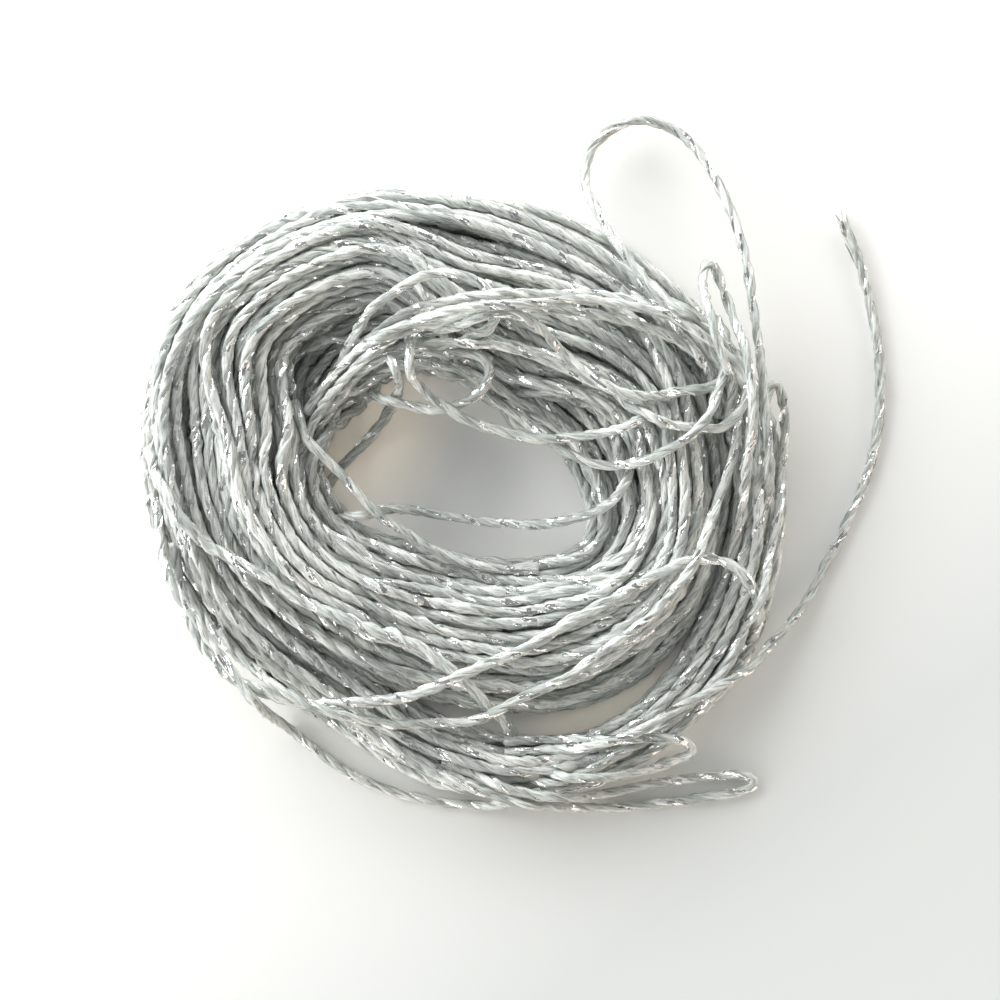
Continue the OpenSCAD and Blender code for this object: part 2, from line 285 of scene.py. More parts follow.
def twisted(path, rng, full):
    """Two plies round a path. A ply's middle turns round the path once every lay length; its section
    is an ellipse, and its points turn back nearly as much, so that each column of faces is one strip of
    film that runs almost straight. A point is middle + thickness * cos(angle) * outward + width *
    sin(angle) * across, and none lies below the table. Also gives the lengths along the path, and the
    column that is foil at each ring, or -1 for none."""
    n = len(path)
    along = np.r_[0, np.cumsum(np.linalg.norm(np.diff(path, axis=0), axis=1))]
    ahead = np.gradient(path, axis=0)
    ahead /= np.linalg.norm(ahead, axis=1)[:, None]
    side = np.cross([0, 0, 1.0], ahead)
    side /= np.maximum(np.linalg.norm(side, axis=1), 1e-9)[:, None]
    up = np.cross(ahead, side)
    grids, foils = [], []
    phase = 2 * pi * along / LAY_LENGTH + rng.uniform(0, 2 * pi) + TWIST_STRAY * wander(rng, n, TWIST_RINGS)
    for ply in (0, pi):
        turn = (phase + ply)[:, None]
        outward = np.cos(turn) * side + np.sin(turn) * up
        across = -np.sin(turn) * side + np.cos(turn) * up
        slack = 1 + SLACK_STRAY * wander(rng, n, SLACK_RINGS)[:, None]
        middle = path + PLY_OUT * full * CORD_D * slack * outward
        spin = rng.uniform(0, 2 * pi) - UNTWIST * phase + SPIN_STRAY * wander(rng, n, SPIN_RINGS)
        angle = spin[:, None] + np.arange(STRIPS) * 2 * pi / STRIPS
        swell = np.stack([1 + SWELL_STRAY * wander(rng, n, SWELL_RINGS) for _ in range(STRIPS)], axis=1)
        swell = full * (swell + GRAIN * rng.standard_normal(swell.shape))
        flat = 1 + FLAT_STRAY * wander(rng, n, FLAT_RINGS)[:, None]
        radial = PLY_THICK * CORD_D * swell * np.cos(angle) / flat
        wide = PLY_WIDE * CORD_D * swell * np.sin(angle) * flat
        grids.append(middle[:, None] + radial[..., None] * outward[:, None]
                     + wide[..., None] * across[:, None])
        column = STRIPS * along / FOIL_TURN + FOIL_STRAY * wander(rng, n, FOIL_RINGS) + rng.uniform(0, STRIPS)
        column = np.mod(column, STRIPS).astype(int)
        foils.append(np.where(wander(rng, n, HIDDEN_RINGS) > HIDDEN_BELOW, column, -1))
    plies = np.stack(grids)
    plies[..., 2] = np.maximum(plies[..., 2], 0)
    return plies, along, np.stack(foils)


# rings in a row of the layout for baking, and where a row's strips begin and how much of it they fill
BAKE_ROW = 400
BAKE_MARGIN, BAKE_FILL = 0.04, 0.92


def cord_mesh(name, plies, along, foils):
    """One closed mesh of the plies: each is a grid of rings by strips, with a cap at both ends. The
    faces of each ring's foil column are flat foil, and the rest are smooth film."""
    count, rings, sides = plies.shape[:3]
    ids = np.arange(count * rings * sides).reshape(count, rings, sides)
    near, far = ids[:, :-1], ids[:, 1:]
    quads = np.stack([near, np.roll(near, -1, 2), np.roll(far, -1, 2), far], axis=-1)
    strip = np.broadcast_to(np.arange(sides), quads.shape[:3])
    caps = np.concatenate([ids[:, 0, ::-1], ids[:, -1]])
    corners = np.concatenate([quads.reshape(-1), caps.reshape(-1)])
    sizes = np.r_[np.full(quads.size // 4, 4), np.full(len(caps), sides)]
    starts = np.r_[0, np.cumsum(sizes)[:-1]]

    mesh = bpy.data.meshes.new(name)
    mesh.vertices.add(ids.size)
    mesh.vertices.foreach_set("co", (plies.reshape(-1) * MM).astype(np.float32))
    mesh.loops.add(len(corners))
    mesh.loops.foreach_set("vertex_index", corners.astype(np.int32))
    mesh.polygons.add(len(sizes))
    mesh.polygons.foreach_set("loop_start", starts.astype(np.int32))
    foil_at = foils[:, :-1, None]
    wide = np.sin(WIDE_WAVE * np.arange(rings - 1))[None, :, None] > WIDE_ABOVE
    is_foil = (strip == foil_at) | ((strip == foil_at + 1) & wide & (foil_at >= 0))
    is_foil = np.r_[is_foil.reshape(-1), np.zeros(len(caps), bool)]
    mesh.polygons.foreach_set("material_index", is_foil.astype(np.int32))
    mesh.polygons.foreach_set("use_smooth", ~is_foil)

    # around: which strip and where on it; along: millimetres from the cord's start
    u0 = np.arange(count)[:, None, None] + strip / sides
    v0 = np.broadcast_to(along[None, :-1, None], strip.shape)
    v1 = np.broadcast_to(along[None, 1:, None], strip.shape)
    u = np.stack([u0, u0 + 1 / sides, u0 + 1 / sides, u0], axis=-1)
    v = np.stack([v0, v0, v1, v1], axis=-1)
    cap_uv = np.zeros((caps.size, 2))
    at = np.concatenate([np.stack([u, v], axis=-1).reshape(-1, 2), cap_uv])
    mesh.uv_layers.new(name="cord").uv.foreach_set("vector", at.astype(np.float32).reshape(-1))

    # the same grid laid out in rows that fill a square, for baking
    ring = np.broadcast_to(np.arange(rings - 1)[None, :, None], strip.shape)
    rows = -(-(rings - 1) // BAKE_ROW)
    row = ring // BAKE_ROW + rows * np.arange(count)[:, None, None]
    x = (ring % BAKE_ROW)[..., None] + np.array([0, 0, 1, 1])
    y = row[..., None] + BAKE_MARGIN + BAKE_FILL * (strip[..., None] + np.array([0, 1, 1, 0])) / sides
    at = np.concatenate([np.stack([x / BAKE_ROW, y / (rows * count)], axis=-1).reshape(-1, 2), cap_uv])
    mesh.uv_layers.new(name="OFBake").uv.foreach_set("vector", at.astype(np.float32).reshape(-1))

    mesh.materials.append(film)
    mesh.materials.append(foil)
    mesh.update()
    mesh.validate()
    return mesh


def make_cord(name, twist, replaced=()):
    """A stretch of cord along a path in mm, riding on the hank's one body."""
    plies, along, foils = twist
    piece = bpy.data.objects.new(name, cord_mesh(name, plies, along, foils))
    bpy.context.collection.objects.link(piece)
    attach(piece, "root")
    if replaced:
        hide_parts(*replaced)


# ---------------------------------------------------------------------------------------------
# The coil: about eighty turns of the cord, wound to and fro over a main bundle round the eye
# and an outer band. The turns are laid out turn by turn, then pushed apart to a cord's thickness
# and let down on each other until they rest.
# ---------------------------------------------------------------------------------------------
# sizes in mm and angles in degrees; a list is spread evenly over a turn, from +X towards +Y
COIL_X, COIL_Y = -6.1, 0.8
EYE_R, MAIN_W, MAIN_H = 11.0, 14.5, 10.0
OUTER_W, OUTER_H, CRESCENT_W, CLEAR = 4.5, 7.5, 3.0, 0.05
EYE_SHAPE = [0.5, -2.6, -2.8, -2.0, 0.2, 1.2, 2.6, 1.6, -1.0, -1.2, 1.2, 4.6]
MAIN_SHAPE = [2.0, 0.5, -1.0, -1.5, -0.5, 1.6, 1.0, -0.6, -2.0, -0.8, 2.6, 3.0]
OUTER_SHAPE = [0.4, -2.0, -2.6, -2.2, -0.3, 0.3, 0.4, 0.8, 1.8, 2.4, -0.8, 0.8]
MAIN_DROP = [2.0, 1.2, 0.6, 0, 0, 0.2, 0.6, 1.2, 2.0, 2.6, 3.0, 2.6]
OUTER_DROP = [1.5, 1.8, 2.2, 1.8, 1.0, 0.2, 0, 0.6, 2.0, 2.8, 3.2, 2.4]
CRESCENT_AT, CRESCENT_REACH = 295, 52
# how square a bundle's section is: 2 is an ellipse, and more is fuller at the corners
DOME_POWER, MERGED_POWER = 2.4, 3
TURN_POINTS = 141
MAIN_TURNS, MAIN_LAYERS = 64, 7
OUTER_TURNS, OUTER_LAYERS = 18, 5
# the top layer's turns as a share of the mean layer's
THIN_TOP = 0.5
# how far apart the middle lines of neighbouring turns are pushed, in mm
LYING_APART = 1.18
COIL_SEED = 7
# the main bundle's share of the width where the two bundles lie as one
MAIN_SHARE = 0.76
# where along a turn the cord moves over to its next place, and how much of a turn that takes
STEP_FROM, STEP_TO = 0.15, 0.85
STEP_LEAST, STEP_SPREAD = 0.12, 0.2
# slow noise in a turn's place and height, as shares of the bundle, and its reach in turns
RESTLESS, RESTLESS_REACH = 0.05, 0.35
UNEVEN, UNEVEN_REACH = 0.05, 0.3
LOWEST, HIGHEST = 0.02, 0.98
# the last part of the winding sinks into the bundle, so that its end is hidden
END_SINKS, END_TURN = 0.75, 0.35
# how strong each trait of the coil is, as a share of the width, or in mm for the closing and the pit;
# and where it is: its middle angle, the degrees on each side at full strength, and the degrees over
# which it then eases off. The fan's noise has its own reach in turns.
FANNED, FANNED_REACH, FANNED_WHERE = 0.22, 0.16, (-15, 0, 110)
SWEPT, SWEPT_WHERE = 0.42, (0, 8, 52)
PARTED, PARTED_WHERE = 0.14, (330, 6, 22)
GROOVED, GROOVED_WHERE = 0.38, (122, 30, 30)
CLOSED, CLOSED_WHERE = 1.6, (215, 25, 30)
PIT_LOW, PIT_HIGH, PIT_WHERE = 0.5, 7.0, (130, 16, 30)
MERGED_WHERE = (95, 55, 35)
# from which share of the height, or of the width, a trait begins, and the share over which it grows
SWEPT_FROM, GROOVED_FROM, PIT_FROM, PIT_BEHIND = (0.35, 0.4), (0.1, 0.4), (0, 0.35), (0.05, 0.03)


def around(values, angle):
    """Value at an angle in degrees of a list spread evenly over a turn, by a Catmull-Rom curve."""
    values = np.asarray(values, float)
    s = np.mod(angle, 360) / 360 * len(values)
    i = s.astype(int)
    return between(*(values[(i + k) % len(values)] for k in (-1, 0, 1, 2)), s - i)


def eased(t):
    """3t^2 - 2t^3 between 0 and 1."""
    t = np.clip(t, 0, 1)
    return t * t * (3 - 2 * t)


def grown(x, start, span):
    """0 below the start, easing to 1 over the span."""
    return eased((x - start) / span)


def main_in(a):
    """Radius of the main bundle's inner side at an angle: the eye's radius and its shape."""
    return EYE_R + around(EYE_SHAPE, a)


def main_out(a):
    """Radius of the main bundle's outer side: eye, bundle width and the outer shape."""
    return EYE_R + MAIN_W + around(MAIN_SHAPE, a)


def main_top(a):
    """Height of the main bundle's top at an angle: the full height less a drop."""
    return MAIN_H - around(MAIN_DROP, a)


def outer_in(a):
    """Radius of the outer band's inner side: the main bundle's, a clearance and the crescent."""
    gap = CRESCENT_W * eased(1 - np.abs(np.mod(a, 360) - CRESCENT_AT) / CRESCENT_REACH)
    return main_out(a) + CLEAR + gap


def outer_out(a):
    """Radius of the outer band's outer side: its inner side, its width and its shape."""
    return outer_in(a) + OUTER_W + around(OUTER_SHAPE, a)


def outer_top(a):
    """Height of the outer band's top at an angle: the full height less a drop."""
    return OUTER_H - around(OUTER_DROP, a)


def near_angle(a, middle, flat, soft):
    """1 within flat degrees of the middle angle, easing to 0 over soft degrees more."""
    off = np.abs(np.mod(a - middle + 180, 360) - 180)
    return eased(1 - (off - flat) / soft)


def wound(rng, turns, layers, inner, outer, top, shared):
    """Turns laid side by side, layer over layer, fewer towards the top. Share s of the width sweeps out
    and back; radius is inner + s * (outer - inner), drawn in towards the middle as the bundle's dome
    narrows, and height is the layer's share h of the top, both with slow noise. In the main bundle the
    upper turns are swept outward at one side, and at the pit the innermost turns stand apart, with a
    gap behind them that is narrow at the table and widens steeply with the height. In the outer band
    the turns part in two on one side, leave a groove next to the main bundle on another, and close up
    to it on a third. Where the bundles lie as one, these turns take the shared part of the width."""
    weights = np.linspace(2 - THIN_TOP, THIN_TOP, layers)
    counts = np.maximum(1, np.round(turns * weights / weights.sum())).astype(int)
    turns = int(counts.sum())
    share = np.concatenate([((np.arange(c) + 0.5) / c)[::1 if k % 2 == 0 else -1]
                            for k, c in enumerate(counts)])
    level = np.repeat((np.arange(layers) + 0.5) / layers, counts)
    share = share + rng.normal(0, RESTLESS, turns)
    share, level = np.append(share, share[-1]), np.append(level, level[-1])
    n = turns * TURN_POINTS
    turn = np.arange(n) / TURN_POINTS
    a = 360 * turn
    i = turn.astype(int)
    where = rng.uniform(STEP_FROM, STEP_TO, turns + 1)[i]
    width = STEP_LEAST + STEP_SPREAD * rng.random(turns + 1)[i]
    step = eased((turn - i - where) / width + 0.5)
    h = level[i] * (1 - step) + level[i + 1] * step
    h = np.clip(h + UNEVEN * wander(rng, n, TURN_POINTS * UNEVEN_REACH), LOWEST, HIGHEST)
    h *= 1 - END_SINKS * eased(1 - (turns - turn) / END_TURN)
    fan = FANNED * h * near_angle(a, *FANNED_WHERE)
    s = share[i] * (1 - step) + share[i + 1] * step + RESTLESS * wander(rng, n, TURN_POINTS * RESTLESS_REACH)
    s = np.clip(s + fan * wander(rng, n, TURN_POINTS * FANNED_REACH), 0, 1)
    if inner is main_in:
        s = s + SWEPT * grown(h, *SWEPT_FROM) * (1 - s) * near_angle(a, *SWEPT_WHERE)
    if inner is outer_in:
        s = s - PARTED * near_angle(a, *PARTED_WHERE) * np.sin(2 * pi * s)
        s = s + GROOVED * grown(h, *GROOVED_FROM) * (1 - s) * near_angle(a, *GROOVED_WHERE)

    room = (1 - h ** DOME_POWER) ** (1 / DOME_POWER)
    pit, low, high = 0, inner(a) + CORD_D / 2, outer(a) - CORD_D / 2
    if inner is main_in:
        behind = grown(s, *PIT_BEHIND)
        at_pit = near_angle(a, *PIT_WHERE)
        room += at_pit * (1 - behind) * (1 - room)
        pit = at_pit * behind * (PIT_LOW + (PIT_HIGH - PIT_LOW) * grown(h, *PIT_FROM))
    else:
        low = low - CLOSED * near_angle(a, *CLOSED_WHERE)
    r = low + pit + (high - low - pit) * (0.5 + (s - 0.5) * room)
    z = CORD_D / 2 + h * (top(a) - CORD_D)

    low, high = main_in(a) + CORD_D / 2, outer_out(a) - CORD_D / 2
    t = shared[0] + (shared[1] - shared[0]) * s
    dome = (1 - np.abs(2 * t - 1) ** MERGED_POWER) ** (1 / MERGED_POWER)
    as_one = near_angle(a, *MERGED_WHERE)
    r += as_one * (low + pit + (high - low - pit) * t - r)
    z += as_one * (CORD_D / 2 + h * dome * (main_top(a) - CORD_D) - z)
    return np.c_[COIL_X + r * np.cos(np.radians(a)), COIL_Y + r * np.sin(np.radians(a)), z]


# points of one cord that are at most this many apart along it never push each other
NEIGHBOURS = 4


def near_pairs(x, reach, cord):
    """Every pair of points nearer than reach, found by sorting them into cells of that size; points
    close along the same cord are left out."""
    cell = np.floor((x - x.min(0)) / reach).astype(np.int64) + 1
    size = cell.max(0) + 3
    key = (cell[:, 0] * size[1] + cell[:, 1]) * size[2] + cell[:, 2]
    order = np.argsort(key, kind="stable")
    key, cell = key[order], cell[order]
    first, second = [], []
    for dx, dy in ((0, 0), (0, 1), (1, -1), (1, 0), (1, 1)):
        base = ((cell[:, 0] + dx) * size[1] + cell[:, 1] + dy) * size[2] + cell[:, 2]
        low = np.searchsorted(key, base - 1)
        high = np.searchsorted(key, base + 1, side="right")
        if dx == dy == 0:
            low = np.maximum(low, np.arange(len(key)) + 1)
        many = np.maximum(high - low, 0)
        start = np.repeat(np.cumsum(many) - many, many)
        first.append(order[np.repeat(np.arange(len(key)), many)])
        second.append(order[np.arange(many.sum()) - start + np.repeat(low, many)])
    i, j = np.concatenate(first), np.concatenate(second)
    keep = ((x[i] - x[j]) ** 2).sum(1) < reach ** 2
    keep &= (np.abs(i - j) > NEIGHBOURS) | (cord[i] != cord[j])
    return i[keep], j[keep]


def evened(u, cord, share):
    """Each point's shift mixed with the mean of its neighbours' shifts along the cord."""
    tied = (cord[1:] == cord[:-1])[:, None]
    before, after = u.copy(), u.copy()
    before[1:] = np.where(tied, u[:-1], u[1:])
    after[:-1] = np.where(tied, u[1:], u[:-1])
    return (1 - share) * u + share * 0.5 * (before + after)


# how often the pairs are found again and how far they are looked for, as a share of the distance; what
# share of a push is made at once; and from which share of the steps on the fall and stiffness are less
PAIRS_EVERY, PAIRS_REACH = 8, 1.5
PUSHED = 0.8
LATE_FROM, LATE_FALL, LATE_STIFF = 0.8, 0.3, 0.5


def settled(guide, cord, distance, steps=220, fall=0.006, pull=0.01, stiff=0.3):
    """Position-based relaxation: the shift from the guide falls a little each step, pairs nearer than
    the distance push each other apart, and the cord's stiffness evens the shift out along it."""
    n = len(guide)
    u = np.zeros_like(guide)
    for step in range(steps):
        if step % PAIRS_EVERY == 0:
            i, j = near_pairs(guide + u, PAIRS_REACH * distance, cord)
        late = step > LATE_FROM * steps
        u[:, 2] -= fall * (LATE_FALL if late else 1)
        u[:, :2] *= 1 - pull
        x = guide + u
        apart = x[i] - x[j]
        length = np.sqrt((apart ** 2).sum(1)) + 1e-9
        hit = length < distance
        a, b = i[hit], j[hit]
        push = apart[hit] * (0.5 * (distance / length[hit] - 1))[:, None]
        many = np.bincount(a, minlength=n) + np.bincount(b, minlength=n)
        total = np.stack([np.bincount(a, push[:, k], n) - np.bincount(b, push[:, k], n)
                          for k in range(3)], axis=1)
        u += PUSHED * total / np.sqrt(np.maximum(many, 1))[:, None]
        u = evened(u, cord, stiff * (LATE_STIFF if late else 1))
        u[:, 2] = np.maximum(u[:, 2], CORD_D / 2 - guide[:, 2])
    return guide + u


rng = np.random.default_rng(COIL_SEED)
main_turns = wound(rng, MAIN_TURNS, MAIN_LAYERS, main_in, main_out, main_top, (0, MAIN_SHARE))
outer_turns = wound(rng, OUTER_TURNS, OUTER_LAYERS, outer_in, outer_out, outer_top, (MAIN_SHARE, 1))
cord_of = np.r_[np.zeros(len(main_turns), int), np.ones(len(outer_turns), int)]
coil = settled(np.vstack([main_turns, outer_turns]), cord_of, LYING_APART)


# ---------------------------------------------------------------------------------------------
# Strands laid over the coil: turns that have slipped across the rest. Each follows its own route
# and lies on whatever is under it, bridging the hollows as a springy cord does.
# ---------------------------------------------------------------------------------------------
# all in mm, but the bridge, which is in steps of the guide to each side
LAID_GAP = 1.0
GUIDE_STEP = 0.9
BRIDGE = 3
RISE = 3.5
# the first strand's seed; each one after it has the next
OVER_SEED = 300

lying = [coil]
# name, path, seed, CAD nodes it stands for, what its far end is, fullness
strands = []


def laid(route, buried):
    """The route lifted onto what lies under it. The height over a cord at a side distance r is
    sqrt(gap^2 - r^2); the highest within reach is kept, then evened along the strand. An end keeps
    its route's own height for the buried length in mm, and then eases up to what it lies on."""
    path = resampled(np.asarray(route, float) + [0, 0, CORD_D / 2], GUIDE_STEP)
    under = np.vstack(lying)
    lift = np.full(len(path), CORD_D / 2)
    for k in range(len(path)):
        r2 = ((under[:, :2] - path[k, :2]) ** 2).sum(1)
        close = r2 < LAID_GAP ** 2
        if close.any():
            lift[k] = (under[close, 2] + np.sqrt(LAID_GAP ** 2 - r2[close])).max()
    z = np.maximum(path[:, 2], lift)
    window = np.lib.stride_tricks.sliding_window_view(np.pad(z, BRIDGE, mode="edge"), 2 * BRIDGE + 1)
    kernel = np.hanning(2 * BRIDGE + 3)[1:-1]
    z = np.convolve(np.pad(window.max(1), BRIDGE, mode="edge"), kernel / kernel.sum(), mode="valid")
    along = np.r_[0, np.cumsum(np.linalg.norm(np.diff(path[:, :2], axis=0), axis=1))]
    for end, deep in ((along, buried[0]), (along[-1] - along, buried[1])):
        if deep is not None:
            z = path[:, 2] + eased((end - deep) / RISE) * (z - path[:, 2])
    path[:, 2] = np.maximum(z, CORD_D / 2)
    lying.append(path)
    return path


# name, CAD nodes it stands for, fullness, buried length at each end, route in mm: x, y, free height
OVER = [
    ("cross_turn", ("main_coil",), 1.2, (5, 4), [
        (-36.4, 5, 3), (-35.6, 0, 4.5), (-33.8, -4.2, 5), (-31.5, -7, 5), (-28.5, -9, 6), (-24.5, -11, 7),
        (-21.5, -13, 7), (-18, -14.5, 7), (-14.5, -16, 7), (-11.5, -17, 7), (-9.5, -17.9, 7),
        (-7.5, -19.3, 6.5), (-5, -21.5, 5.5), (-2.8, -23.8, 4), (-1.6, -25, 3.2), (-0.7, -26.4, 2.4),
        (-0.2, -27.6, 2), (0.2, -28.9, 1.8), (0.6, -30.4, 2)]),
    ("over_strand_left", ("main_coil",), 1.15, (5, 9), [
        (-34.2, -7.5, 3), (-33.6, -12, 3.5), (-32.2, -16, 4.5), (-29.8, -19.7, 5), (-27, -21.7, 5),
        (-21.5, -23.5, 5), (-17, -23.5, 5.5), (-11.5, -23, 6), (-8.5, -22, 6), (-4, -20, 6), (1, -18, 6),
        (6, -15, 6), (9.7, -13.1, 6), (13, -11.1, 6), (16, -9.7, 6), (17.9, -9.1, 6.2), (19.8, -9.2, 6.3),
        (21.6, -9.8, 6.1), (22.9, -10.9, 5.6), (23.7, -12.4, 4.6), (24.1, -14.2, 3.2), (23.6, -16.6, 2),
        (22, -19.5, 1.5), (19.8, -22, 1.2)]),
    ("over_strand_right", ("outer_turns",), 1.0, (4, 5), [
        (-29.5, -16, 2), (-27, -19.5, 3), (-20.5, -23.6, 5), (-13.5, -25.5, 5), (-7.5, -25.5, 5),
        (-3.5, -25, 5), (0.5, -23, 5.5), (5, -21, 6), (9, -18, 6), (13, -15, 6), (15.6, -12.2, 6),
        (17.5, -9.8, 6), (19.5, -5, 6), (21, -1, 6), (22, 3, 6), (22.2, 7, 4.5)]),
    ("cross_lower_turn", ("crossing_turns",), 1.0, (9, 4), [
        (-20.6, 0.6, 2.4), (-20, 3, 3), (-18.8, 5.4, 4), (-17.3, 7.6, 5.2), (-15.7, 9.4, 6.3),
        (-13.4, 10.8, 7.2), (-11.4, 11.6, 7.7), (-9.8, 12.1, 8), (-6.5, 12.5, 8), (-4, 12.5, 8),
        (-0.5, 11.9, 8), (2, 11, 8), (4.5, 10, 8), (7.5, 8.5, 8), (11, 7, 7.5), (14, 5, 7),
        (16, 1.5, 5)]),
    ("arch_strand", ("arch_strand",), 1.0, (7, 3), [
        (-19.2, 5.8, 2.2), (-18.4, 8, 2.8), (-17.6, 10.2, 4), (-16.5, 12.2, 6), (-15.5, 13.9, 7.8),
        (-14.3, 15.5, 9.2), (-12.7, 16.7, 10), (-11, 17.8, 10.4), (-9.4, 18.7, 10.7), (-7.4, 19.1, 11),
        (-5.4, 18.9, 11.2), (-4, 18.4, 11.2), (-3, 17.7, 11.1), (-2.4, 16.7, 10.8), (-2.1, 15.7, 10),
        (-2, 14.7, 9.4), (-2.6, 13.7, 9), (-3.6, 12.9, 8.4), (-5, 12.4, 7.4), (-6.5, 12, 6.2)]),
    ("cross_inner_turn", ("crossing_turns",), 1.0, (8, 4), [
        (-21, 3, 3.2), (-20.2, 5, 3.9), (-18.9, 6.9, 4.8), (-17.3, 8.8, 6), (-15, 11, 7.4),
        (-12.9, 12.4, 8.4), (-10.8, 13.4, 9), (-8.2, 14.1, 9.2), (-5.4, 14.7, 9.3), (-2.1, 15.1, 9.4),
        (0.5, 15.5, 9.4), (4.5, 15.5, 9), (8.5, 15, 9), (12.5, 14, 8.5), (17, 12, 8), (19.5, 9, 7),
        (20.5, 5, 5)]),
    ("cross_hook_turn", ("crossing_turns",), 1.0, (4, 4), [
        (-11, 12.8, 6.6), (-8.6, 13.5, 7.8), (-6.5, 14, 8.5), (-2.5, 15, 9), (0, 15, 9), (2, 14, 9),
        (4, 12, 9), (6, 10, 8.5), (9, 8, 8.5), (12.5, 7, 8), (16.5, 7.5, 7.5), (19, 8, 7), (20.5, 9, 7),
        (22, 11.5, 5)]),
    ("cross_upper_turn", ("crossing_turns",), 1.0, (8, 4), [
        (-20.2, 6.8, 3.5), (-18.4, 8.6, 4.6), (-16.8, 10.4, 5.8), (-15, 12.3, 7), (-12.6, 14.2, 8.3),
        (-10.6, 15.3, 9), (-8.2, 16, 9.4), (-6.2, 16.5, 9.6), (-4.2, 16.8, 9.7), (-0.5, 17, 9.7),
        (3.5, 17, 9.5), (8.5, 17, 9), (13.5, 16, 8.5), (17.5, 14.5, 8), (20, 13, 7.5), (22, 10.5, 7),
        (23.5, 8, 6.5), (23.5, 4, 6), (23, 0, 4)]),
    ("cross_long_turn", ("crossing_turns",), 1.0, (8, 4), [
        (-20.8, 5.2, 3.6), (-19.6, 7, 4.4), (-17.9, 9, 5.8), (-15.8, 11, 7.2), (-13, 12.8, 8.5),
        (-11, 13.9, 9.1), (-9.4, 14.5, 9.4), (-7, 15.2, 9.7), (-3.5, 15.7, 10), (2.5, 16, 10),
        (6.5, 16.5, 10), (10.5, 16, 9.5), (15, 15, 9), (18.5, 13, 8.5), (21, 11, 8), (23, 9, 7.5),
        (22.5, 6, 7.5), (20.5, 4, 7.5), (17.5, 4, 7.5), (14.5, 4.5, 7.5), (11, 7, 7), (9, 9.5, 5.5)]),
    ("cross_right_turn", ("main_coil",), 1.0, (6, 6), [
        (-3.5, 7.8, 3.4), (-1.6, 6.5, 3.9), (0.4, 5, 4.4), (2.4, 3.5, 4.9), (4.4, 2, 5.4),
        (5.9, 1.1, 5.8), (7.4, 0.5, 6.1), (9.4, 0.2, 6.4), (11.9, 0.4, 6.7), (13.9, 1.1, 7),
        (15.9, 2.2, 7), (17.4, 3.3, 7), (18.9, 4.8, 7), (19.8, 6.8, 7), (20.5, 8.4, 7), (21, 10.4, 6.6),
        (20.9, 12.6, 5.6), (20, 15, 4.2)]),
]
for k, (name, nodes, full, buried, route) in enumerate(OVER):
    strands.append((name, laid(route, buried), OVER_SEED + k, nodes, "object", full))


# ---------------------------------------------------------------------------------------------
# Strands in the eye: inner turns of the same cord that have come loose and span the eye, or lie on
# the table in it. Each runs on into the main bundle at both ends, where it is held by the others.
# ---------------------------------------------------------------------------------------------
EYE_SEED = 400
